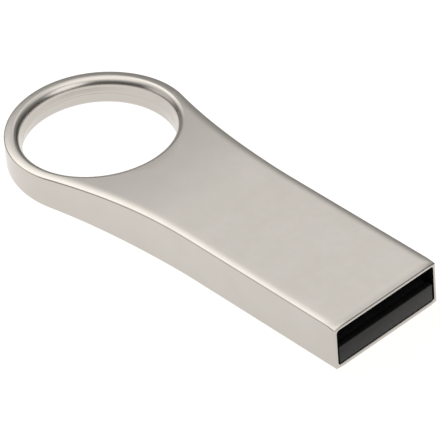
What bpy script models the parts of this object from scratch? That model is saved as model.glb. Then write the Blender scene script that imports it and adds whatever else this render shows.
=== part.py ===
"""A capless USB flash drive: a die-cast zinc body that is key ring and plug shell in one, holding a flat
memory module on a plastic carrier.

The drive lies flat. +X points out of the plug, +Y across it and +Z up. The origin is at the middle of the
drive's box, on the surface that it lies on.
"""

import math

import bmesh
import bpy
from mathutils import Vector

MM = 0.001

# The body.
LENGTH = 44.3 * MM
PLUG_WIDTH = 12.0 * MM
PLUG_THICKNESS = 4.55 * MM
RING_RADIUS = 8.45 * MM
RING_THICKNESS = 2.82 * MM
HOLE_RADIUS = 6.9 * MM
HOLE_DRAFT = 0.12 * MM
HOLE_EDGE_WIDTH = 0.72 * MM  # the rounded edge is a little taller than it is wide
HOLE_EDGE_DEPTH = 0.8 * MM
WAIST_LENGTH = 18.5 * MM  # from the ring's centre to where the plug's sides run straight
TAPER_START = -7.2 * MM  # measured from the ring's centre
TAPER_END = 15.5 * MM
ROLL_OFF_WIDTH = 1.0 * MM
ROLL_OFF_DROP = 0.12 * MM
TOP_EDGE_RADIUS = 0.12 * MM
BOTTOM_EDGE_RADIUS = 0.15 * MM
FRONT_ROLL_DROP = 0.12 * MM  # of the upper face only
FRONT_EDGE_RADIUS = 0.15 * MM
FRONT_CORNER_RADIUS = 0.15 * MM

# The cavity that opens at the plug's front. Its rear has a lower roof, where the body is thinner.
SIDE_WALL = 0.27 * MM
FLOOR_WALL = 0.42 * MM
ROOF_WALL = 0.43 * MM
CAVITY_DEPTH = 26.5 * MM
CAVITY_CORNER = 0.3 * MM
PLUG_REACH = 13.0 * MM  # how far a socket's tongue can go in
REAR_ROOF_STEP = 0.27 * MM

# The carrier and the memory module that lies on it.
GAP = 0.02 * MM  # between pieces that rest on each other
TONGUE_WIDTH = 11.08 * MM
TONGUE_RECESS = 0.05 * MM
GLUE_THICKNESS = 0.05 * MM
TRAY_FLOOR = 0.35 * MM
TRAY_LIP = 0.7 * MM
MODULE_LENGTH = 24.8 * MM
BOARD_THICKNESS = 0.24 * MM
PAD_THICKNESS = 0.05 * MM
TONGUE_TOP = 2.25 * MM  # the contacts' height above the surface that the drive lies on

# Heights and places that follow from them.
MID_HEIGHT = PLUG_THICKNESS / 2
FRONT_X = LENGTH / 2
RING_X = -LENGTH / 2 + RING_RADIUS
WAIST_X = RING_X + WAIST_LENGTH
HALF_WIDTH = PLUG_WIDTH / 2
WAIST_RADIUS = (WAIST_LENGTH**2 / (RING_RADIUS - HALF_WIDTH) - (RING_RADIUS + HALF_WIDTH)) / 2
WAIST_Y = HALF_WIDTH + WAIST_RADIUS
TANGENT_ANGLE = math.atan2(WAIST_Y, WAIST_LENGTH)  # where the ring meets the waist
CAVITY_WIDTH = PLUG_WIDTH - 2 * SIDE_WALL
CAVITY_FLOOR = FLOOR_WALL
CAVITY_ROOF = PLUG_THICKNESS - ROOF_WALL
REAR_ROOF = CAVITY_ROOF - REAR_ROOF_STEP
CAVITY_BACK = FRONT_X - CAVITY_DEPTH
TRAY_BOTTOM = CAVITY_FLOOR + GLUE_THICKNESS + 2 * GAP
TRAY_TOP = TRAY_BOTTOM + TRAY_FLOOR
BOARD_TOP = TONGUE_TOP - PAD_THICKNESS - GAP
BOARD_BOTTOM = BOARD_TOP - BOARD_THICKNESS
MOULD_TOP = BOARD_BOTTOM - GAP
MOULD_BOTTOM = TRAY_TOP + GAP
TRAY_FRONT = FRONT_X - TONGUE_RECESS
MODULE_FRONT = TRAY_FRONT - TRAY_LIP - GAP
MODULE_BACK = MODULE_FRONT - MODULE_LENGTH


def clear_scene():
    for old in list(bpy.data.objects):
        bpy.data.objects.remove(old, do_unlink=True)


def material(name, colour, roughness, metallic=0.0):
    made = bpy.data.materials.new(name)
    made.use_nodes = True
    shader = made.node_tree.nodes["Principled BSDF"]
    shader.inputs["Base Color"].default_value = (*colour, 1.0)
    shader.inputs["Roughness"].default_value = roughness
    shader.inputs["Metallic"].default_value = metallic
    return made


def add_object(name, work, finish):
    """Makes the object of a bmesh, with its origin at the middle of its box."""
    bmesh.ops.recalc_face_normals(work, faces=work.faces)
    corners = [Vector(map(pick, zip(*(v.co for v in work.verts)))) for pick in (min, max)]
    middle = (corners[0] + corners[1]) / 2
    bmesh.ops.translate(work, vec=-middle, verts=work.verts)
    mesh = bpy.data.meshes.new(name)
    work.to_mesh(mesh)
    work.free()
    made = bpy.data.objects.new(name, mesh)
    made.location = middle
    if finish:
        mesh.materials.append(finish)
    bpy.context.scene.collection.objects.link(made)
    return made


def box_mesh(low, high):
    """A bmesh box between two corners."""
    work = bmesh.new()
    size = [b - a for a, b in zip(low, high)]
    bmesh.ops.create_cube(work, size=1.0)
    bmesh.ops.scale(work, vec=size, verts=work.verts)
    bmesh.ops.translate(work, vec=[(a + b) / 2 for a, b in zip(low, high)], verts=work.verts)
    return work


def bevel_along(work, axis, width, segments=3):
    """Rounds the edges of a box that run along one axis: 0 is X, 1 is Y and 2 is Z."""
    chosen = []
    for edge in work.edges:
        along = edge.verts[1].co - edge.verts[0].co
        if abs(along[axis]) > 0.99 * along.length:
            chosen.append(edge)
    bmesh.ops.bevel(work, geom=chosen, offset=width, segments=segments, profile=0.5, affect="EDGES")


def add_box(name, low, high, finish, rounding=0.0, axis=2):
    work = box_mesh(low, high)
    if rounding:
        bevel_along(work, axis, rounding)
    return add_object(name, work, finish)


def cut(target, cutter, name):
    """Cuts one object out of another, and keeps the cutter out of the model."""
    cutter.hide_render = True
    cutter.display_type = "WIRE"
    boolean = target.modifiers.new(name, "BOOLEAN")
    boolean.operation = "DIFFERENCE"
    boolean.solver = "EXACT"
    boolean.object = cutter


# ---------------------------------------------------------------- the body


def arc(centre, radius, start, end, steps):
    """Points along an arc, its start included and its end left out."""
    turns = [start + (end - start) * step / steps for step in range(steps)]
    return [(centre[0] + radius * math.cos(t), centre[1] + radius * math.sin(t)) for t in turns]


def body_outline(inset=0.0):
    """The body seen from above, moved inwards by the inset, anticlockwise from the middle of its front."""
    front = FRONT_X - inset
    side = HALF_WIDTH - inset
    corner = max(FRONT_CORNER_RADIUS - inset, 0.02 * MM)
    waist_end = TANGENT_ANGLE + math.pi
    straight = front - corner - WAIST_X
    half = [(front, y) for y in (0.0, 0.35 * HALF_WIDTH, 0.7 * HALF_WIDTH)]
    half += arc((front - corner, side - corner), corner, 0.0, math.pi / 2, 4)
    half += [(WAIST_X + straight * (6 - step) / 6, side) for step in range(6)]
    half += arc((WAIST_X, WAIST_Y), WAIST_RADIUS + inset, 1.5 * math.pi, waist_end, 14)
    half += arc((RING_X, 0.0), RING_RADIUS - inset, TANGENT_ANGLE, math.pi, 22)
    ring_end = (RING_X - RING_RADIUS + inset, 0.0)
    return half + [ring_end] + [(x, -y) for x, y in reversed(half[1:])]


def side_distance(x, y):
    """How far a point lies inside the body's side outline. The plug's front doesn't count."""
    from_ring = math.hypot(x - RING_X, y)
    if x >= WAIST_X:
        return HALF_WIDTH - abs(y)
    if from_ring and math.acos((x - RING_X) / from_ring) > TANGENT_ANGLE:
        return RING_RADIUS - from_ring
    return math.hypot(x - WAIST_X, abs(y) - WAIST_Y) - WAIST_RADIUS


def half_thickness(x):
    share = (x - RING_X - TAPER_START) / (TAPER_END - TAPER_START)
    share = min(max(share, 0.0), 1.0)
    rise = share * share * (3 - 2 * share)
    return (RING_THICKNESS + (PLUG_THICKNESS - RING_THICKNESS) * rise) / 2


def rounding(distance, width, depth):
    """How far a rounded edge has dropped, at a distance inside it."""
    short = min(max(1 - distance / width, 0.0), 1.0)
    return depth * (1 - math.sqrt(1 - short**2))


def surface_height(x, y, side_radius, front_roll):
    """Height of a face above the middle plane: flat, rolled off at the sides and rounded at every edge."""
    from_side = side_distance(x, y)
    near_side = max(0.0, 1 - from_side / ROLL_OFF_WIDTH)
    near_front = max(0.0, 1 - (FRONT_X - x) / ROLL_OFF_WIDTH)
    roll_off = ROLL_OFF_DROP * near_side**2 + front_roll * near_front**2
    from_hole = math.hypot(x - RING_X, y) - HOLE_RADIUS - HOLE_DRAFT
    hole_drop = rounding(from_hole, HOLE_EDGE_WIDTH, HOLE_EDGE_DEPTH)
    side_drop = rounding(from_side, side_radius, side_radius)
    front_drop = rounding(FRONT_X - x, FRONT_EDGE_RADIUS, FRONT_EDGE_RADIUS)
    return half_thickness(x) - roll_off - hole_drop - max(side_drop, front_drop)


def off_the_hole(points, clearance):
    """The points, with those that lie too near the hole moved away from it."""
    moved = []
    for x, y in points:
        ray = Vector((x - RING_X, y))
        if ray.length < HOLE_RADIUS + clearance:
            ray = ray.normalized() * (HOLE_RADIUS + clearance)
        moved.append((RING_X + ray[0], ray[1]))
    return moved


def blend(points, targets, share):
    return [tuple(Vector(a).lerp(Vector(b), share)) for a, b in zip(points, targets)]


def hole_circle(outline, clearance):
    """For each point of the outline, the point at the hole that lies towards the ring's centre."""
    rays = [Vector((x - RING_X, y)).normalized() * (HOLE_RADIUS + clearance) for x, y in outline]
    return [(RING_X + ray[0], ray[1]) for ray in rays]


def face_loops(side_radius):
    """Closed loops over one face, from the outer edge to the wall of the hole."""
    outline = body_outline()
    rim = [body_outline(side_radius * share) for share in (0.0, 0.13, 0.5, 1.0)]
    shoulder = off_the_hole(body_outline(ROLL_OFF_WIDTH), HOLE_DRAFT + HOLE_EDGE_WIDTH + 0.2 * MM)
    hole_start = hole_circle(outline, HOLE_DRAFT + HOLE_EDGE_WIDTH)
    flats = [blend(shoulder, hole_start, share) for share in (0.35, 0.65, 0.85)]
    rounded = [hole_circle(outline, HOLE_DRAFT + HOLE_EDGE_WIDTH * share) for share in (0.69, 0.41, 0.19, 0.05, 0.0)]
    return [*rim, shoulder, *flats, hole_start, *rounded]


def add_loops(work, side, side_radius):
    """The loops of the top face (side 1) or the bottom face (side -1), as vertices."""
    rings = []
    front_roll = FRONT_ROLL_DROP if side == 1 else 0.0
    for points in face_loops(side_radius):
        heights = [MID_HEIGHT + side * surface_height(x, y, side_radius, front_roll) for x, y in points]
        rings.append([work.verts.new((x, y, z)) for (x, y), z in zip(points, heights)])
    return rings


def add_metal_body(finish):
    """One casting: every loop is joined to the next, round through the hole and back to the first."""
    work = bmesh.new()
    parting_line = [work.verts.new((x, y, MID_HEIGHT)) for x, y in hole_circle(body_outline(), 0.0)]
    top = add_loops(work, 1, TOP_EDGE_RADIUS)
    bottom = add_loops(work, -1, BOTTOM_EDGE_RADIUS)
    rings = [*top, parting_line, *reversed(bottom)]
    for ring, following in zip(rings, rings[1:] + rings[:1]):
        for index in range(len(ring)):
            after = (index + 1) % len(ring)
            work.faces.new((ring[index], ring[after], following[after], following[index]))
    body = add_object("metal_body", work, finish)
    body.data.shade_smooth()
    body.data.set_sharp_from_angle(angle=math.radians(35))
    past = 1.0 * MM
    half = CAVITY_WIDTH / 2
    low = (CAVITY_BACK, -half, CAVITY_FLOOR)
    high = (FRONT_X + past, half, CAVITY_ROOF)
    cavity = add_box("cavity_cutter", low, high, None, CAVITY_CORNER, axis=0)
    low = (CAVITY_BACK - past, -half - past, REAR_ROOF)
    high = (FRONT_X - PLUG_REACH, half + past, CAVITY_ROOF + past)
    cut(cavity, add_box("roof_step_cutter", low, high, None), "roof_step")
    cut(body, cavity, "cavity")


# ---------------------------------------------------------------- what the cavity holds


def add_glue_pad(finish):
    margin = 2.0 * MM
    low = (CAVITY_BACK + margin, -TONGUE_WIDTH / 2 + margin, CAVITY_FLOOR + GAP)
    high = (FRONT_X - margin, TONGUE_WIDTH / 2 - margin, CAVITY_FLOOR + GAP + GLUE_THICKNESS)
    add_box("glue_pad", low, high, finish)


def add_carrier_tray(finish):
    """A plastic floor under the module, with a lip that closes the front of the tongue."""
    low = (CAVITY_BACK + 0.2 * MM, -TONGUE_WIDTH / 2, TRAY_BOTTOM)
    high = (TRAY_FRONT, TONGUE_WIDTH / 2, TONGUE_TOP)
    tray = add_box("carrier_tray", low, high, finish, 0.2 * MM, axis=0)
    past = 1.0 * MM
    low = (CAVITY_BACK - past, -TONGUE_WIDTH / 2 - past, TRAY_TOP)
    high = (TRAY_FRONT - TRAY_LIP, TONGUE_WIDTH / 2 + past, TONGUE_TOP + past)
    cut(tray, add_box("module_bed_cutter", low, high, None), "module_bed")


def add_spacer_block(finish):
    """A plastic block that clamps the module's rear half and stops a socket's tongue."""
    low_height = TONGUE_TOP + GAP
    side_gap = 0.1 * MM
    rib_height = 0.15 * MM
    top = REAR_ROOF - GAP - rib_height
    front = FRONT_X - PLUG_REACH - GAP
    back = CAVITY_BACK + 0.2 * MM
    half = CAVITY_WIDTH / 2 - side_gap
    block = add_box("spacer_block", (back, -half, low_height), (front, half, top), finish)
    rib_width = 0.6 * MM
    for side in (-1, 1):
        middle = side * half / 2
        low = (back + 1.0 * MM, middle - rib_width / 2, top - rib_height)
        high = (front - 1.0 * MM, middle + rib_width / 2, top + rib_height)
        rib = add_box(f"crush_rib_{side}", low, high, None, 0.14 * MM, axis=0)
        rib.hide_render = True
        rib.display_type = "WIRE"
        union = block.modifiers.new(f"rib_{side}", "BOOLEAN")
        union.operation = "UNION"
        union.solver = "EXACT"
        union.object = rib


def add_module_board(finish):
    low = (MODULE_BACK, -TONGUE_WIDTH / 2, BOARD_BOTTOM)
    high = (MODULE_FRONT, TONGUE_WIDTH / 2, BOARD_TOP)
    add_box("module_board", low, high, finish, 0.5 * MM)


def add_contacts(finish):
    """Four gold pads. The two outer ones reach further forward, so that power is made before data."""
    width = 1.2 * MM
    back = MODULE_FRONT - 8.6 * MM
    outer, inner = 3.5 * MM, 1.0 * MM
    pads = (("power", outer, 1.2), ("data_minus", inner, 2.2), ("data_plus", -inner, 2.2), ("ground", -outer, 1.2))
    for name, y, setback in pads:
        low = (back, y - width / 2, BOARD_TOP + GAP)
        high = (MODULE_FRONT - setback * MM, y + width / 2, TONGUE_TOP)
        add_box(f"contact_{name}", low, high, finish, 0.15 * MM)


def chips():
    """What hangs under the board: name, material, distance from the module's front, y, length, width, height
    and how far under the board it starts, in millimetres."""
    found = [
        ("flash_die_lower", "silicon", 16.4, 0.0, 11.0, 8.2, 0.2, 0.0),
        ("flash_die_upper", "silicon", 16.9, 0.0, 11.0, 8.2, 0.2, 0.23),
        ("controller_die", "silicon", 7.2, 0.6, 3.2, 3.2, 0.25, 0.0),
        ("crystal", "crystal_can", 3.4, -2.4, 2.5, 2.0, 0.55, 0.0),
        ("ferrite_bead", "ferrite", 2.2, 3.9, 1.0, 0.5, 0.5, 0.0),
    ]
    capacitors = (("input", 3.9, 3.9), ("core", 5.0, 2.9), ("flash", 9.4, -3.2), ("load_1", 5.9, -3.2), ("load_2", 5.9, -1.7))
    for name, x, y in capacitors:
        found.append((f"capacitor_{name}", "capacitor", x, y, 1.0, 0.5, 0.5, 0.0))
    for number, y in enumerate((0.3, 1.6), start=1):
        found.append((f"resistor_{number}", "resistor", 4.0, y, 1.0, 0.5, 0.35, 0.0))
    return found


def add_chips_and_mould(finishes):
    """The chips, and the epoxy that is moulded over them, with a pocket where each chip lies."""
    low = (MODULE_BACK, -TONGUE_WIDTH / 2, MOULD_BOTTOM)
    high = (MODULE_FRONT, TONGUE_WIDTH / 2, MOULD_TOP)
    mould = add_box("mould_cap", low, high, finishes["epoxy"], 0.5 * MM)
    clearance = 0.03 * MM
    past = 0.3 * MM
    for name, finish, from_front, y, length, width, height, under in chips():
        x = MODULE_FRONT - from_front * MM
        y *= MM
        half_length, half_width = length * MM / 2, width * MM / 2
        top = MOULD_TOP - GAP - under * MM
        bottom = top - height * MM
        low = (x - half_length, y - half_width, bottom)
        high = (x + half_length, y + half_width, top)
        add_box(name, low, high, finishes[finish])
        low = (low[0] - clearance, low[1] - clearance, bottom - clearance)
        high = (high[0] + clearance, high[1] + clearance, MOULD_TOP + past)
        cut(mould, add_box(f"{name}_pocket", low, high, None), name)


def main():
    clear_scene()
    nickel = material("satin_nickel", (0.68, 0.65, 0.61), 0.28, 1.0)
    plastic = material("black_plastic", (0.035, 0.035, 0.037), 0.45)
    glue = material("glue", (0.75, 0.72, 0.62), 0.6)
    board = material("board", (0.012, 0.013, 0.014), 0.35)
    gold = material("gold", (0.83, 0.6, 0.25), 0.25, 1.0)
    finishes = {
        "epoxy": material("epoxy", (0.02, 0.02, 0.022), 0.6),
        "silicon": material("silicon", (0.12, 0.12, 0.14), 0.2),
        "crystal_can": material("crystal_can", (0.7, 0.7, 0.72), 0.25, 1.0),
        "ferrite": material("ferrite", (0.1, 0.09, 0.09), 0.6),
        "capacitor": material("capacitor", (0.45, 0.33, 0.22), 0.5),
        "resistor": material("resistor", (0.03, 0.03, 0.03), 0.5),
    }
    add_metal_body(nickel)
    add_glue_pad(glue)
    add_carrier_tray(plastic)
    add_spacer_block(plastic)
    add_module_board(board)
    add_contacts(gold)
    add_chips_and_mould(finishes)


main()
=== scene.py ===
"""The look of a capless USB flash drive: a satin nickel casting that is key ring and plug shell in one.

Lengths are in metres unless a name ends in _MM. The frame is the CAD model's: +X points out of the plug.
"""

import math

import bmesh
import bpy
from mathutils import Matrix, Vector


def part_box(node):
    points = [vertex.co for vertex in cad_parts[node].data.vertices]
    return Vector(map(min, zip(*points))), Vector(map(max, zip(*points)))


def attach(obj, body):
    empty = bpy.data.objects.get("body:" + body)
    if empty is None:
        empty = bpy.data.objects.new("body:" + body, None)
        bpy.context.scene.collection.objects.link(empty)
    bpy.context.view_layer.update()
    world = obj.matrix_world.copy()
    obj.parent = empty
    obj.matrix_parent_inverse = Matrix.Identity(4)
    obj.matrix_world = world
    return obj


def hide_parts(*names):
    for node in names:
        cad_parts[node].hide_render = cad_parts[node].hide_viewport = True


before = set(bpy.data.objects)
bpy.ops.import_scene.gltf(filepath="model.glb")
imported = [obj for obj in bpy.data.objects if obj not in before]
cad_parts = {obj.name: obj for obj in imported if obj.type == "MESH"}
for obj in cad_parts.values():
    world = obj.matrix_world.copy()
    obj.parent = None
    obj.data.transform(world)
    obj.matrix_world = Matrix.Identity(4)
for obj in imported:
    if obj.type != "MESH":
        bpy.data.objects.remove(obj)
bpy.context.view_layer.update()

MM = 0.001

# The casting, with the CAD model's dimensions.
LENGTH = 44.3 * MM
PLUG_WIDTH = 12.0 * MM
PLUG_THICKNESS = 4.55 * MM
RING_RADIUS = 8.45 * MM
RING_THICKNESS = 2.82 * MM
HOLE_RADIUS = 6.9 * MM
HOLE_DRAFT = 0.12 * MM
HOLE_EDGE_WIDTH = 0.72 * MM
HOLE_EDGE_DEPTH = 0.8 * MM
WAIST_LENGTH = 18.5 * MM
TAPER_START = -7.2 * MM
TAPER_END = 15.5 * MM
ROLL_OFF_WIDTH = 1.0 * MM
ROLL_OFF_DROP = 0.12 * MM
TOP_EDGE_RADIUS = 0.12 * MM
BOTTOM_EDGE_RADIUS = 0.15 * MM
FRONT_ROLL_DROP = 0.12 * MM
FRONT_EDGE_RADIUS = 0.15 * MM
FRONT_CORNER_RADIUS = 0.15 * MM
SIDE_WALL = 0.27 * MM
FLOOR_WALL = 0.42 * MM
ROOF_WALL = 0.43 * MM
CAVITY_DEPTH = 26.5 * MM
CAVITY_CORNER = 0.3 * MM
PLUG_REACH = 13.0 * MM
REAR_ROOF_STEP = 0.27 * MM

# What only the look has.
MOUTH_RADIUS = 0.06 * MM
SHADE_START_DEPTH = 0.35 * MM  # how deep into the mouth the cavity's painted shade begins
PARTING_RIDGE_HEIGHT = 0.02 * MM
PARTING_RIDGE_WIDTH = 0.12 * MM
PARTING_RIDGE_FOOT = 0.004 * MM  # how far the hole's wall stands back beside the ridge
SUPPORT = 0.01 * MM  # distance of the loop that keeps the front flat beside its rounded edge
TRAY_GAP = 0.02 * MM
TRAY_ROUNDING = 0.06 * MM
CRUSH_RIB = 0.3 * MM
PAD_CORNER = 0.2 * MM
PAD_RIM = 0.015 * MM
TOLERANCE = 0.001 * MM
SHARP_ANGLE = math.radians(40)

# How finely the casting's outline is divided, over one half of it.
FRONT_STEPS = 8
CORNER_STEPS = 10
SIDE_STEPS = 24
WAIST_STEPS = 60
RING_STEPS = 84
MOUTH_CORNER_STEPS = 8
MOUTH_SIDE_STEPS = 5

MID_HEIGHT = PLUG_THICKNESS / 2
FRONT_X = LENGTH / 2
RING_X = -LENGTH / 2 + RING_RADIUS
WAIST_X = RING_X + WAIST_LENGTH
HALF_WIDTH = PLUG_WIDTH / 2
WAIST_RADIUS = (WAIST_LENGTH**2 / (RING_RADIUS - HALF_WIDTH) - (RING_RADIUS + HALF_WIDTH)) / 2
WAIST_Y = HALF_WIDTH + WAIST_RADIUS
TANGENT_ANGLE = math.atan2(WAIST_Y, WAIST_LENGTH)

# The camera, seen from the middle of what it looks at.
CAMERA_AIM_MM = (0.407, 1.162, 0.127)
CAMERA_AZIMUTH = 49.546
CAMERA_ELEVATION = 38.91
CAMERA_ROLL = -4.888
CAMERA_DISTANCE_MM = 383.73
CAMERA_LENS = 359.65

# Each light: azimuth, elevation, the angles where its edge starts to fade and has gone, and strength.
CEILING = (0, 90, 20, 89, 0.4)
SOFT_LIGHTS = (
    (-60, 85, 5, 65, 1.3),  # overhead
    (-60, 85, 25, 35, 1.6),  # bright middle of the overhead light
    (-90, 55, 25, 40, 1.1),  # large panel beside the ring
    (-100, 46, 5, 22, 2.1),  # bright middle of that panel
    (-110, 55, 25, 40, 0.75),  # the panel's soft edge
    (-138, 42, 6, 18, 1.18),  # narrow panel behind it
    (-120, 45, 30, 65, 0.35),  # pale wall behind both
    (-50, 15, 5, 35, 0.9),  # reflector beside the camera
    (90, 35, 10, 35, 1.6),  # panel at the plug's end
)


# ---------------------------------------------------------------- material nodes


class Nodes:
    """A short way to write a material's node tree."""

    def __init__(self, name, colour, roughness, metallic=0.0, coat=0.0):
        self.material = bpy.data.materials.new(name)
        self.material.use_nodes = True
        self.tree = self.material.node_tree
        self.shader = self.tree.nodes["Principled BSDF"]
        self.shader.inputs["Base Color"].default_value = (*colour, 1.0)
        self.shader.inputs["Roughness"].default_value = roughness
        self.shader.inputs["Metallic"].default_value = metallic
        self.shader.inputs["Coat Weight"].default_value = coat
        self.height = None

    def add(self, kind, **settings):
        made = self.tree.nodes.new(kind)
        for name, value in settings.items():
            setattr(made, name, value)
        return made

    def link(self, output, target):
        self.tree.links.new(output, target)

    def millimetres(self, scale=(1.0, 1.0, 1.0)):
        """The object's own coordinates in millimetres, stretched along each axis."""
        coordinates = self.add("ShaderNodeTexCoord")
        mapping = self.add("ShaderNodeMapping")
        mapping.inputs["Scale"].default_value = [1000 * s for s in scale]
        self.link(coordinates.outputs["Object"], mapping.inputs["Vector"])
        return mapping.outputs["Vector"]

    def noise(self, scale, detail=2.0, stretch=(1.0, 1.0, 1.0), roughness=0.5):
        """Noise with this many features in a millimetre."""
        made = self.add("ShaderNodeTexNoise")
        made.inputs["Scale"].default_value = scale
        made.inputs["Detail"].default_value = detail
        made.inputs["Roughness"].default_value = roughness
        self.link(self.millimetres(stretch), made.inputs["Vector"])
        return made.outputs["Fac"]

    def cells(self, scale, stretch=(1.0, 1.0, 1.0)):
        made = self.add("ShaderNodeTexVoronoi")
        made.inputs["Scale"].default_value = scale
        self.link(self.millimetres(stretch), made.inputs["Vector"])
        return made

    def ramp(self, value, low, high, start=0.0, end=1.0):
        """Maps a value from one range to another."""
        made = self.add("ShaderNodeMapRange")
        made.inputs["From Min"].default_value = start
        made.inputs["From Max"].default_value = end
        made.inputs["To Min"].default_value = low
        made.inputs["To Max"].default_value = high
        self.link(value, made.inputs["Value"])
        return made.outputs["Result"]

    def math(self, operation, first, second):
        made = self.add("ShaderNodeMath", operation=operation)
        for socket, value in zip(made.inputs, (first, second)):
            if isinstance(value, float):
                socket.default_value = value
            else:
                self.link(value, socket)
        return made.outputs[0]

    def colour(self, factor, first, second, start, end):
        """The base colour, from the first to the second as the factor goes from start to end."""
        made = self.add("ShaderNodeMix", data_type="RGBA")
        self.link(self.ramp(factor, 0.0, 1.0, start, end), made.inputs[0])
        made.inputs[6].default_value = (*first, 1.0)
        made.inputs[7].default_value = (*second, 1.0)
        self.link(made.outputs[2], self.shader.inputs["Base Color"])

    def roughness(self, factor, low, high, start=0.3, end=0.7):
        """The roughness, from low to high as the factor goes from start to end."""
        self.link(self.ramp(factor, low, high, start, end), self.shader.inputs["Roughness"])

    def bump(self, height, depth_mm, strength=1.0):
        """Bumps of this depth. Several stack up."""
        made = self.add("ShaderNodeBump")
        made.inputs["Strength"].default_value = strength
        made.inputs["Distance"].default_value = depth_mm * MM
        self.link(height, made.inputs["Height"])
        if self.height:
            self.link(self.height, made.inputs["Normal"])
        self.height = made.outputs["Normal"]
        self.link(self.height, self.shader.inputs["Normal"])


def satin_nickel():
    """Pearl nickel plate: nearly even, with faint cloudiness and a grain too fine to see one by one."""
    nodes = Nodes("satin_nickel", (0.535, 0.51, 0.477), 0.22, metallic=1.0)
    clouds = nodes.noise(0.35, detail=3.0)
    nodes.colour(clouds, (0.525, 0.5, 0.465), (0.545, 0.521, 0.489), 0.3, 0.7)
    grain = nodes.noise(9.0, detail=3.0, roughness=0.6)
    patches = nodes.noise(1.1, detail=2.0)
    mixed = nodes.math("ADD", nodes.math("MULTIPLY", grain, 0.5), nodes.math("MULTIPLY", patches, 0.5))
    nodes.roughness(mixed, 0.2, 0.26)
    nodes.bump(nodes.noise(14.0, detail=3.0, roughness=0.6), 0.0004)
    nodes.bump(nodes.noise(0.8, detail=1.0), 0.0012)
    return nodes.material


def cavity_zinc_painted_shade():
    """The inside of the plug, which the plating hardly reaches: dull and coarser, with painted shade making
    it near-black.
    """
    # The near-black colour is painted shade for the dim inside of the plug.
    nodes = Nodes("cavity_zinc_painted_shade", (0.02, 0.018, 0.017), 0.55, metallic=1.0)
    clouds = nodes.noise(1.5, detail=4.0)
    nodes.colour(clouds, (0.012, 0.011, 0.01), (0.03, 0.027, 0.025), 0.3, 0.7)
    nodes.roughness(clouds, 0.5, 0.65)
    nodes.bump(nodes.noise(6.0, detail=3.0), 0.004)
    return nodes.material


def black_plastic():
    """Moulded with a fine spark-eroded grain."""
    nodes = Nodes("black_plastic", (0.005, 0.0048, 0.0047), 0.45)
    nodes.shader.inputs["Specular IOR Level"].default_value = 0.32
    clouds = nodes.noise(2.0, detail=3.0)
    nodes.colour(clouds, (0.004, 0.0039, 0.0038), (0.006, 0.0058, 0.0056), 0.3, 0.7)
    nodes.roughness(nodes.noise(5.0, detail=2.0), 0.38, 0.5)
    grain = nodes.cells(9.0)
    nodes.bump(grain.outputs["Distance"], 0.004, 0.7)
    return nodes.material


def solder_mask():
    """Black mask over laminate, with the weave and the copper under it just showing."""
    nodes = Nodes("solder_mask", (0.012, 0.013, 0.014), 0.32, coat=0.15)
    clouds = nodes.noise(0.8, detail=2.0)
    nodes.colour(clouds, (0.010, 0.011, 0.012), (0.016, 0.017, 0.018), 0.3, 0.7)
    nodes.roughness(nodes.noise(3.0, detail=2.0), 0.26, 0.38)
    tracks = nodes.add("ShaderNodeTexBrick", offset=0.35, squash=1.4)
    tracks.inputs["Scale"].default_value = 0.55
    tracks.inputs["Mortar Size"].default_value = 0.03
    tracks.inputs["Mortar Smooth"].default_value = 0.4
    nodes.link(nodes.millimetres(), tracks.inputs["Vector"])
    nodes.bump(tracks.outputs["Fac"], 0.012, 0.6)
    weave = nodes.cells(4.5, stretch=(1.0, 1.6, 1.0))
    nodes.bump(weave.outputs["Distance"], 0.002, 0.5)
    return nodes.material


def contact_gold():
    """Hard gold, with the marks of sockets running along X."""
    nodes = Nodes("contact_gold", (0.86, 0.62, 0.25), 0.24, metallic=1.0)
    streaks = nodes.noise(5.0, detail=3.0, stretch=(0.12, 2.4, 1.0))
    nodes.colour(streaks, (0.88, 0.64, 0.27), (0.78, 0.55, 0.22), 0.35, 0.75)
    nodes.roughness(streaks, 0.18, 0.34)
    nodes.bump(streaks, 0.0015, 0.8)
    return nodes.material


def moulding_compound():
    nodes = Nodes("moulding_compound", (0.02, 0.02, 0.021), 0.55)
    filler = nodes.noise(12.0, detail=3.0)
    nodes.colour(filler, (0.016, 0.016, 0.017), (0.035, 0.035, 0.036), 0.45, 0.75)
    nodes.roughness(filler, 0.5, 0.64)
    nodes.bump(filler, 0.003, 0.6)
    return nodes.material


def bare_die():
    """Polished silicon with its blocks of circuits."""
    nodes = Nodes("bare_die", (0.12, 0.12, 0.14), 0.16, metallic=0.6)
    blocks = nodes.add("ShaderNodeTexBrick", offset=0.0)
    blocks.inputs["Color1"].default_value = (0.09, 0.1, 0.14, 1.0)
    blocks.inputs["Color2"].default_value = (0.14, 0.11, 0.16, 1.0)
    blocks.inputs["Mortar"].default_value = (0.3, 0.27, 0.2, 1.0)
    blocks.inputs["Scale"].default_value = 0.9
    blocks.inputs["Mortar Size"].default_value = 0.012
    nodes.link(nodes.millimetres(), blocks.inputs["Vector"])
    nodes.link(blocks.outputs["Color"], nodes.shader.inputs["Base Color"])
    nodes.roughness(nodes.noise(2.0), 0.12, 0.2)
    return nodes.material


def plated_lid():
    nodes = Nodes("plated_lid", (0.7, 0.7, 0.72), 0.26, metallic=1.0)
    brushed = nodes.noise(8.0, detail=2.0, stretch=(0.15, 2.0, 1.0))
    nodes.colour(brushed, (0.66, 0.66, 0.68), (0.74, 0.74, 0.76), 0.3, 0.7)
    nodes.roughness(brushed, 0.2, 0.34)
    nodes.bump(brushed, 0.001, 0.6)
    return nodes.material


def ceramic(name, dark, light, roughness):
    """A small fired block, finely speckled."""
    nodes = Nodes(name, light, roughness)
    speckle = nodes.noise(10.0, detail=3.0)
    nodes.colour(speckle, dark, light, 0.35, 0.7)
    nodes.roughness(speckle, roughness - 0.06, roughness + 0.08)
    nodes.bump(speckle, 0.002, 0.5)
    return nodes.material


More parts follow.
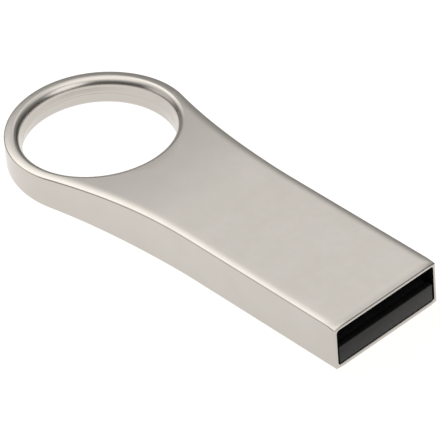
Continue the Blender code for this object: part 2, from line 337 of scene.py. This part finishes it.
def cured_glue():
    nodes = Nodes("cured_glue", (0.75, 0.72, 0.62), 0.35)
    nodes.shader.inputs["Subsurface Weight"].default_value = 0.2
    nodes.shader.inputs["Subsurface Scale"].default_value = 0.5 * MM
    flow = nodes.noise(0.9, detail=3.0)
    nodes.colour(flow, (0.7, 0.66, 0.55), (0.78, 0.76, 0.67), 0.3, 0.7)
    nodes.roughness(flow, 0.28, 0.42)
    nodes.bump(flow, 0.01, 0.7)
    return nodes.material


# ---------------------------------------------------------------- the casting's shape


def arc(centre, radius, start, end, steps, with_end=False):
    """Points along an arc. Its start is one of them, and its end only on request."""
    turns = [start + (end - start) * step / steps for step in range(steps + with_end)]
    return [(centre[0] + radius * math.cos(t), centre[1] + radius * math.sin(t)) for t in turns]


def body_outline(inset=0.0):
    """The body seen from above, moved inwards by the inset, anticlockwise from the middle of its front."""
    front = FRONT_X - inset
    side = HALF_WIDTH - inset
    corner = max(FRONT_CORNER_RADIUS - inset, 0.02 * MM)
    waist_end = TANGENT_ANGLE + math.pi
    straight = front - corner - WAIST_X
    half = [(front, (side - corner) * step / FRONT_STEPS) for step in range(FRONT_STEPS)]
    half += arc((front - corner, side - corner), corner, 0.0, math.pi / 2, CORNER_STEPS)
    half += [(WAIST_X + straight * (1 - step / SIDE_STEPS), side) for step in range(SIDE_STEPS)]
    half += arc((WAIST_X, WAIST_Y), WAIST_RADIUS + inset, 1.5 * math.pi, waist_end, WAIST_STEPS)
    half += arc((RING_X, 0.0), RING_RADIUS - inset, TANGENT_ANGLE, math.pi, RING_STEPS)
    ring_end = (RING_X - RING_RADIUS + inset, 0.0)
    return half + [ring_end] + [(x, -y) for x, y in reversed(half[1:])]


def side_distance(x, y):
    """How far a point lies inside the body's side outline. The plug's front doesn't count."""
    from_ring = math.hypot(x - RING_X, y)
    if x >= WAIST_X:
        return HALF_WIDTH - abs(y)
    if from_ring and math.acos((x - RING_X) / from_ring) > TANGENT_ANGLE:
        return RING_RADIUS - from_ring
    return math.hypot(x - WAIST_X, abs(y) - WAIST_Y) - WAIST_RADIUS


def half_thickness(x):
    share = (x - RING_X - TAPER_START) / (TAPER_END - TAPER_START)
    share = min(max(share, 0.0), 1.0)
    rise = share * share * (3 - 2 * share)
    return (RING_THICKNESS + (PLUG_THICKNESS - RING_THICKNESS) * rise) / 2


def rounding(distance, width, depth):
    """How far a rounded edge has dropped, at a distance inside it."""
    short = min(max(1 - distance / width, 0.0), 1.0)
    return depth * (1 - math.sqrt(1 - short**2))


def surface_height(x, y, side_radius, front_roll):
    """Height of a face above the middle plane: flat, rolled off at the sides and rounded at every edge."""
    from_side = side_distance(x, y)
    near_side = max(0.0, 1 - from_side / ROLL_OFF_WIDTH)
    near_front = max(0.0, 1 - (FRONT_X - x) / ROLL_OFF_WIDTH)
    roll_off = ROLL_OFF_DROP * near_side**2 + front_roll * near_front**2
    from_hole = math.hypot(x - RING_X, y) - HOLE_RADIUS - HOLE_DRAFT
    hole_drop = rounding(from_hole, HOLE_EDGE_WIDTH, HOLE_EDGE_DEPTH)
    side_drop = rounding(from_side, side_radius, side_radius)
    front_drop = rounding(FRONT_X - x, FRONT_EDGE_RADIUS, FRONT_EDGE_RADIUS)
    return half_thickness(x) - roll_off - hole_drop - max(side_drop, front_drop)


def off_the_hole(points, clearance):
    """The points, with those that lie too near the hole moved away from it."""
    moved = []
    for x, y in points:
        ray = Vector((x - RING_X, y))
        if ray.length < HOLE_RADIUS + clearance:
            ray = ray.normalized() * (HOLE_RADIUS + clearance)
        moved.append((RING_X + ray[0], ray[1]))
    return moved


def hole_circle(outline, clearance):
    """For each point of the outline, the point at the hole that lies towards the ring's centre."""
    rays = [Vector((x - RING_X, y)).normalized() * (HOLE_RADIUS + clearance) for x, y in outline]
    return [(RING_X + ray[0], ray[1]) for ray in rays]


def blend(points, targets, share):
    return [tuple(Vector(a).lerp(Vector(b), share)) for a, b in zip(points, targets)]


def face_loops(side_radius):
    """Closed loops over one face, from the outer edge to the wall of the hole.

    They follow the outline up to the shoulder, then close in on the hole, and then turn down over its edge.
    """
    outline = body_outline()
    turns = [math.radians(angle) for angle in (0, 6, 15, 27, 39, 51, 63, 75, 90)]
    loops = [body_outline(side_radius * (1 - math.cos(turn))) for turn in turns]
    edge_room = HOLE_DRAFT + HOLE_EDGE_WIDTH
    for step in range(1, 9):
        inset = side_radius + (ROLL_OFF_WIDTH - side_radius) * step / 8
        spare = (0.2 - 0.015 * step) * MM  # the inner loops may come nearer the hole
        loops.append(off_the_hole(body_outline(inset), edge_room + spare))
    hole_start = hole_circle(outline, edge_room)
    shoulder = loops[-1]
    for share in (0.12, 0.25, 0.38, 0.5, 0.6, 0.7, 0.78, 0.85, 0.91, 0.96, 1.0):
        loops.append(blend(shoulder, hole_start, share))
    for turn in [math.radians(angle) for angle in range(6, 91, 6)]:
        loops.append(hole_circle(outline, HOLE_DRAFT + HOLE_EDGE_WIDTH * (1 - math.sin(turn))))
    return loops


def add_loops(work, side, side_radius):
    """The loops of the top face (side 1) or the bottom face (side -1), as vertices."""
    rings = []
    front_roll = FRONT_ROLL_DROP if side == 1 else 0.0
    for points in face_loops(side_radius):
        heights = [MID_HEIGHT + side * surface_height(x, y, side_radius, front_roll) for x, y in points]
        rings.append([work.verts.new((x, y, z)) for (x, y), z in zip(points, heights)])
    return rings


def wall_between(work, first, last, shares):
    """Loops on a straight wall between two loops, at these shares of the way from the first to the last."""
    pairs = list(zip(first, last))
    return [[work.verts.new(start.co.lerp(end.co, share)) for start, end in pairs] for share in shares]


def hole_wall(work, upper, lower):
    """The hole's wall leans out from a fine ridge at the parting line, half way up."""
    outline = body_outline()
    half_ridge = PARTING_RIDGE_WIDTH / 2
    rings = []
    shares = (0.03, 0.35, 0.7)
    for part in (1.6, 1.0, 0.5, 0.0, -0.5, -1.0, -1.6):
        height = half_ridge * part
        rise = PARTING_RIDGE_HEIGHT * max(0.0, 1 - abs(height) / half_ridge) ** 0.8
        circle = hole_circle(outline, PARTING_RIDGE_FOOT - rise)
        rings.append([work.verts.new((x, y, MID_HEIGHT + height)) for x, y in circle])
    top = wall_between(work, upper, rings[0], shares)
    bottom = wall_between(work, rings[-1], lower, [1 - share for share in reversed(shares)])
    return [*top, *rings, *bottom]


def join_rings(work, rings, skip=()):
    """Joins each loop to the next with quads, but leaves out the columns in skip."""
    for ring, following in zip(rings, rings[1:]):
        for index in range(len(ring)):
            if index not in skip:
                after = (index + 1) % len(ring)
                work.faces.new((ring[index], ring[after], following[after], following[index]))


def mouth_section(grow, roof):
    """The cavity's section at the front, as (y, z) points anticlockwise seen from the front."""
    half = HALF_WIDTH - SIDE_WALL + grow
    low, high = FLOOR_WALL - grow, roof + grow
    corner = CAVITY_CORNER + grow
    centres = ((half - corner, low + corner), (half - corner, high - corner))
    points = []
    for centre, start in zip(centres, (-math.pi / 2, 0.0)):
        points += arc(centre, corner, start, start + math.pi / 2, MOUTH_CORNER_STEPS, with_end=True)
    across = [(half - corner) * (1 - step / MOUTH_SIDE_STEPS) for step in range(1, MOUTH_SIDE_STEPS)]
    right = points + [(y, high) for y in across]
    left = [(-y, z) for y, z in reversed(right)]
    return right + left


def cavity_rings(work):
    """Loops from the rounded mouth to the cavity's back. The roof steps down where the plug ends."""
    roof = PLUG_THICKNESS - ROOF_WALL
    rear_roof = roof - REAR_ROOF_STEP
    stations = []
    for angle in (0, 18, 36, 54, 72, 90):
        turn = math.radians(angle)
        stations.append((MOUTH_RADIUS * (1 - math.sin(turn)), MOUTH_RADIUS * (1 - math.cos(turn)), roof))
    stations += [(0.0, depth * MM, roof) for depth in (0.08, 0.4, 1.2, 3.0, 6.0, 9.0)]
    stations += [(0.0, PLUG_REACH, roof), (0.0, PLUG_REACH, rear_roof), (0.0, CAVITY_DEPTH, rear_roof)]
    rings = []
    for grow, depth, top in stations:
        section = mouth_section(grow, top)
        rings.append([work.verts.new((FRONT_X - depth, y, z)) for y, z in section])
    return rings


def build_casting():
    work = bmesh.new()
    top = add_loops(work, 1, TOP_EDGE_RADIUS)
    bottom = add_loops(work, -1, BOTTOM_EDGE_RADIUS)
    inner = hole_wall(work, top[-1], bottom[-1])
    join_rings(work, [*top, *inner, *reversed(bottom)])
    # The outer wall. Its columns along the straight front stay open for the cavity.
    count = len(top[0])
    open_columns = set(range(FRONT_STEPS)) | set(range(count - FRONT_STEPS, count))
    side_wall = wall_between(work, bottom[0], top[0], (0.004, 0.25, 0.5, 0.75, 0.996))
    join_rings(work, [bottom[0], *side_wall, top[0]], skip=open_columns)
    mouth = cavity_rings(work)
    join_rings(work, mouth)
    work.faces.new(mouth[-1])
    # The front face's border: along the bottom, up one side, back along the top and down the other.
    along = [index % count for index in range(-FRONT_STEPS, FRONT_STEPS + 1)]
    border = [bottom[0][index] for index in along]
    border += [ring[FRONT_STEPS] for ring in side_wall]
    border += [top[0][index] for index in reversed(along)]
    border += [ring[count - FRONT_STEPS] for ring in reversed(side_wall)]
    edges = []
    for loop in (border, mouth[0]):
        for a, b in zip(loop, loop[1:] + loop[:1]):
            edges.append(work.edges.get((a, b)) or work.edges.new((a, b)))
    filled = bmesh.ops.triangle_fill(work, use_beauty=True, use_dissolve=False, edges=edges)
    faces = [item for item in filled["geom"] if isinstance(item, bmesh.types.BMFace)]
    bmesh.ops.inset_region(work, faces=faces, thickness=SUPPORT, use_even_offset=True, use_boundary=True)
    loose = [v for v in work.verts if not v.link_faces]
    bmesh.ops.delete(work, geom=loose, context="VERTS")
    bmesh.ops.recalc_face_normals(work, faces=work.faces)
    # Faces deep in the cavity take the material with the painted shade.
    for face in work.faces:
        face.material_index = int(in_painted_shade(face.calc_center_median()))
    return work


def in_painted_shade(point):
    """Whether a point lies in the plug's cavity, deeper than where the painted shade begins."""
    depth = FRONT_X - point.x
    between_sides = abs(point.y) < HALF_WIDTH - SIDE_WALL + TOLERANCE
    between_faces = abs(point.z - MID_HEIGHT) < MID_HEIGHT - FLOOR_WALL + TOLERANCE
    return between_sides and between_faces and SHADE_START_DEPTH < depth < CAVITY_DEPTH + 10 * TOLERANCE


# ---------------------------------------------------------------- pieces


def add_piece(name, work, materials, node):
    """Makes a piece of a bmesh that stands for one CAD node."""
    mesh = bpy.data.meshes.new(name)
    work.to_mesh(mesh)
    work.free()
    made = bpy.data.objects.new(name, mesh)
    bpy.context.scene.collection.objects.link(made)
    for material in materials:
        mesh.materials.append(material)
    mesh.shade_smooth()
    mesh.set_sharp_from_angle(angle=SHARP_ANGLE)
    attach(made, "root")
    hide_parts(node)


def add_box(work, low, high):
    """A plain box in the bmesh. Its corners come back."""
    low, high = Vector(low), Vector(high)
    corners = bmesh.ops.create_cube(work, size=1.0)["verts"]
    bmesh.ops.scale(work, vec=high - low, verts=corners)
    bmesh.ops.translate(work, vec=(low + high) / 2, verts=corners)
    return corners


def round_edges(work, edges, radius, segments):
    bmesh.ops.bevel(work, geom=edges, offset=radius, segments=segments, profile=0.5, affect="EDGES")


def rounded_box(work, low, high, radius):
    corners = add_box(work, low, high)
    edges = list(dict.fromkeys(edge for corner in corners for edge in corner.link_edges))
    round_edges(work, edges, radius, 3)


def add_tray(material):
    """The carrier's floor and its front lip, as one rounded moulding."""
    low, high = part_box("carrier_tray")
    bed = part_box("mould_cap")[0].z - TRAY_GAP
    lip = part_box("module_board")[1].x + TRAY_GAP
    profile = [(low.x, low.z), (high.x, low.z), (high.x, high.z), (lip, high.z), (lip, bed), (low.x, bed)]
    work = bmesh.new()
    verts = [work.verts.new((x, low.y, z)) for x, z in profile]
    face = work.faces.new(verts)
    made = bmesh.ops.extrude_face_region(work, geom=[face])
    moved = [item for item in made["geom"] if isinstance(item, bmesh.types.BMVert)]
    bmesh.ops.translate(work, vec=(0.0, high.y - low.y, 0.0), verts=moved)
    bmesh.ops.recalc_face_normals(work, faces=work.faces)
    round_edges(work, work.edges[:], TRAY_ROUNDING, 4)
    add_piece("tray_moulding", work, [material], "carrier_tray")


def add_spacer(material):
    """A block with two crush ribs along its top."""
    low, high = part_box("spacer_block")
    work = bmesh.new()
    rounded_box(work, low, (high.x, high.y, high.z - CRUSH_RIB), 0.08 * MM)
    for middle in (-high.y / 2, high.y / 2):
        start = (low.x + 1.0 * MM, middle - CRUSH_RIB, high.z - 2 * CRUSH_RIB)
        end = (high.x - 1.0 * MM, middle + CRUSH_RIB, high.z)
        rounded_box(work, start, end, 0.1 * MM)
    add_piece("spacer_moulding", work, [material], "spacer_block")


def add_contact(name, material):
    """A plated pad with rounded corners and a softened rim."""
    low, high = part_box(f"contact_{name}")
    work = bmesh.new()
    add_box(work, low, high)
    upright = [edge for edge in work.edges if abs(edge.verts[0].co.z - edge.verts[1].co.z) > TOLERANCE]
    round_edges(work, upright, PAD_CORNER, 6)
    rim = [edge for edge in work.edges if min(v.co.z for v in edge.verts) > high.z - TOLERANCE]
    round_edges(work, rim, PAD_RIM, 3)
    add_piece(f"pad_{name}", work, [material], f"contact_{name}")


def add_pieces():
    nickel = satin_nickel()
    plastic = black_plastic()
    gold = contact_gold()
    add_piece("nickel_casting", build_casting(), [nickel, cavity_zinc_painted_shade()], "metal_body")
    add_tray(plastic)
    add_spacer(plastic)
    for name in ("power", "data_minus", "data_plus", "ground"):
        add_contact(name, gold)


def finish_hidden_nodes():
    """Materials for the CAD nodes that stay as they are."""
    die = bare_die()
    capacitor = ceramic("capacitor_ceramic", (0.36, 0.26, 0.17), (0.5, 0.37, 0.25), 0.5)
    resistor = ceramic("resistor_glaze", (0.02, 0.02, 0.02), (0.05, 0.05, 0.05), 0.4)
    ferrite = ceramic("ferrite_ceramic", (0.07, 0.065, 0.065), (0.13, 0.12, 0.12), 0.6)
    finishes = {
        "module_board": solder_mask(),
        "mould_cap": moulding_compound(),
        "glue_pad": cured_glue(),
        "crystal": plated_lid(),
        "ferrite_bead": ferrite,
    }
    for name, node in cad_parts.items():
        chosen = finishes.get(name)
        if name.endswith("_die") or name.startswith("flash_die"):
            chosen = die
        elif name.startswith("capacitor"):
            chosen = capacitor
        elif name.startswith("resistor"):
            chosen = resistor
        if chosen:
            node.data.materials.clear()
            node.data.materials.append(chosen)


# ---------------------------------------------------------------- the studio


def add_floor():
    """A pale table that glows, so that its own shadows nearly vanish, with a painted pool of light in front
    of the ring.
    """
    work = bmesh.new()
    bmesh.ops.create_grid(work, x_segments=1, y_segments=1, size=4.0)
    mesh = bpy.data.meshes.new("floor")
    work.to_mesh(mesh)
    work.free()
    floor = bpy.data.objects.new("floor", mesh)
    floor.location.z = -0.01 * MM
    bpy.context.scene.collection.objects.link(floor)
    nodes = Nodes("glowing_table", (0.12, 0.12, 0.12), 0.9)
    nodes.shader.inputs["Emission Color"].default_value = (1.0, 0.98, 0.96, 1.0)
    # Painted pool of light: the table glows a little brighter in front of the ring.
    away = nodes.add("ShaderNodeVectorMath", operation="DISTANCE")
    nodes.link(nodes.millimetres(), away.inputs[0])
    away.inputs[1].default_value = (-14.0, -12.0, 0.0)
    glow_with_painted_pool = nodes.ramp(away.outputs["Value"], 1.02, 0.92, 6.0, 45.0)
    nodes.link(glow_with_painted_pool, nodes.shader.inputs["Emission Strength"])
    mesh.materials.append(nodes.material)


def studio_direction(azimuth, elevation):
    """A direction out of the studio's middle. Azimuth 0 is towards -Y and 90 towards +X."""
    turn, tilt = math.radians(azimuth), math.radians(elevation)
    return Vector((math.sin(turn) * math.cos(tilt), -math.cos(turn) * math.cos(tilt), math.sin(tilt)))


def soft_light(tree, coordinates, azimuth, elevation, inner, outer, strength, least=0.0):
    """A round patch of light that fades out between two angles from its middle."""
    facing = tree.nodes.new("ShaderNodeVectorMath")
    facing.operation = "DOT_PRODUCT"
    facing.inputs[1].default_value = studio_direction(azimuth, elevation)
    tree.links.new(coordinates.outputs["Generated"], facing.inputs[0])
    fade = tree.nodes.new("ShaderNodeMapRange")
    fade.interpolation_type = "SMOOTHSTEP"
    fade.inputs["From Min"].default_value = math.cos(math.radians(outer))
    fade.inputs["From Max"].default_value = math.cos(math.radians(inner))
    fade.inputs["To Min"].default_value = least
    fade.inputs["To Max"].default_value = strength
    tree.links.new(facing.outputs["Value"], fade.inputs["Value"])
    return fade.outputs["Result"]


def add_world():
    """A studio of soft lights under a pale ceiling, with a white backdrop for the camera."""
    world = bpy.data.worlds.new("studio")
    world.use_nodes = True
    bpy.context.scene.world = world
    tree = world.node_tree
    tree.nodes.clear()
    coordinates = tree.nodes.new("ShaderNodeTexCoord")
    light = soft_light(tree, coordinates, *CEILING, least=0.05)
    for settings in SOFT_LIGHTS:
        patch = soft_light(tree, coordinates, *settings)
        brighter = tree.nodes.new("ShaderNodeMath")
        brighter.operation = "MAXIMUM"
        tree.links.new(light, brighter.inputs[0])
        tree.links.new(patch, brighter.inputs[1])
        light = brighter.outputs[0]
    room = tree.nodes.new("ShaderNodeBackground")
    room.inputs["Color"].default_value = (1.0, 0.985, 0.965, 1.0)
    tree.links.new(light, room.inputs["Strength"])
    backdrop = tree.nodes.new("ShaderNodeBackground")
    backdrop.inputs["Color"].default_value = (1.0, 1.0, 1.0, 1.0)
    path = tree.nodes.new("ShaderNodeLightPath")
    mix = tree.nodes.new("ShaderNodeMixShader")
    tree.links.new(path.outputs["Is Camera Ray"], mix.inputs["Fac"])
    tree.links.new(room.outputs["Background"], mix.inputs[1])
    tree.links.new(backdrop.outputs["Background"], mix.inputs[2])
    output = tree.nodes.new("ShaderNodeOutputWorld")
    tree.links.new(mix.outputs["Shader"], output.inputs["Surface"])


def add_camera():
    data = bpy.data.cameras.new("camera")
    data.lens = CAMERA_LENS
    data.sensor_width = 36.0
    data.clip_start = 0.01
    camera = bpy.data.objects.new("camera", data)
    away = studio_direction(CAMERA_AZIMUTH, CAMERA_ELEVATION)
    camera.location = (Vector(CAMERA_AIM_MM) + away * CAMERA_DISTANCE_MM) * MM
    turn = away.to_track_quat("Z", "Y").to_matrix() @ Matrix.Rotation(math.radians(CAMERA_ROLL), 3, "Z")
    camera.rotation_euler = turn.to_euler()
    bpy.context.scene.collection.objects.link(camera)
    bpy.context.scene.camera = camera


add_pieces()
finish_hidden_nodes()
add_floor()
add_world()
add_camera()
bpy.context.scene.view_settings.view_transform = "Standard"
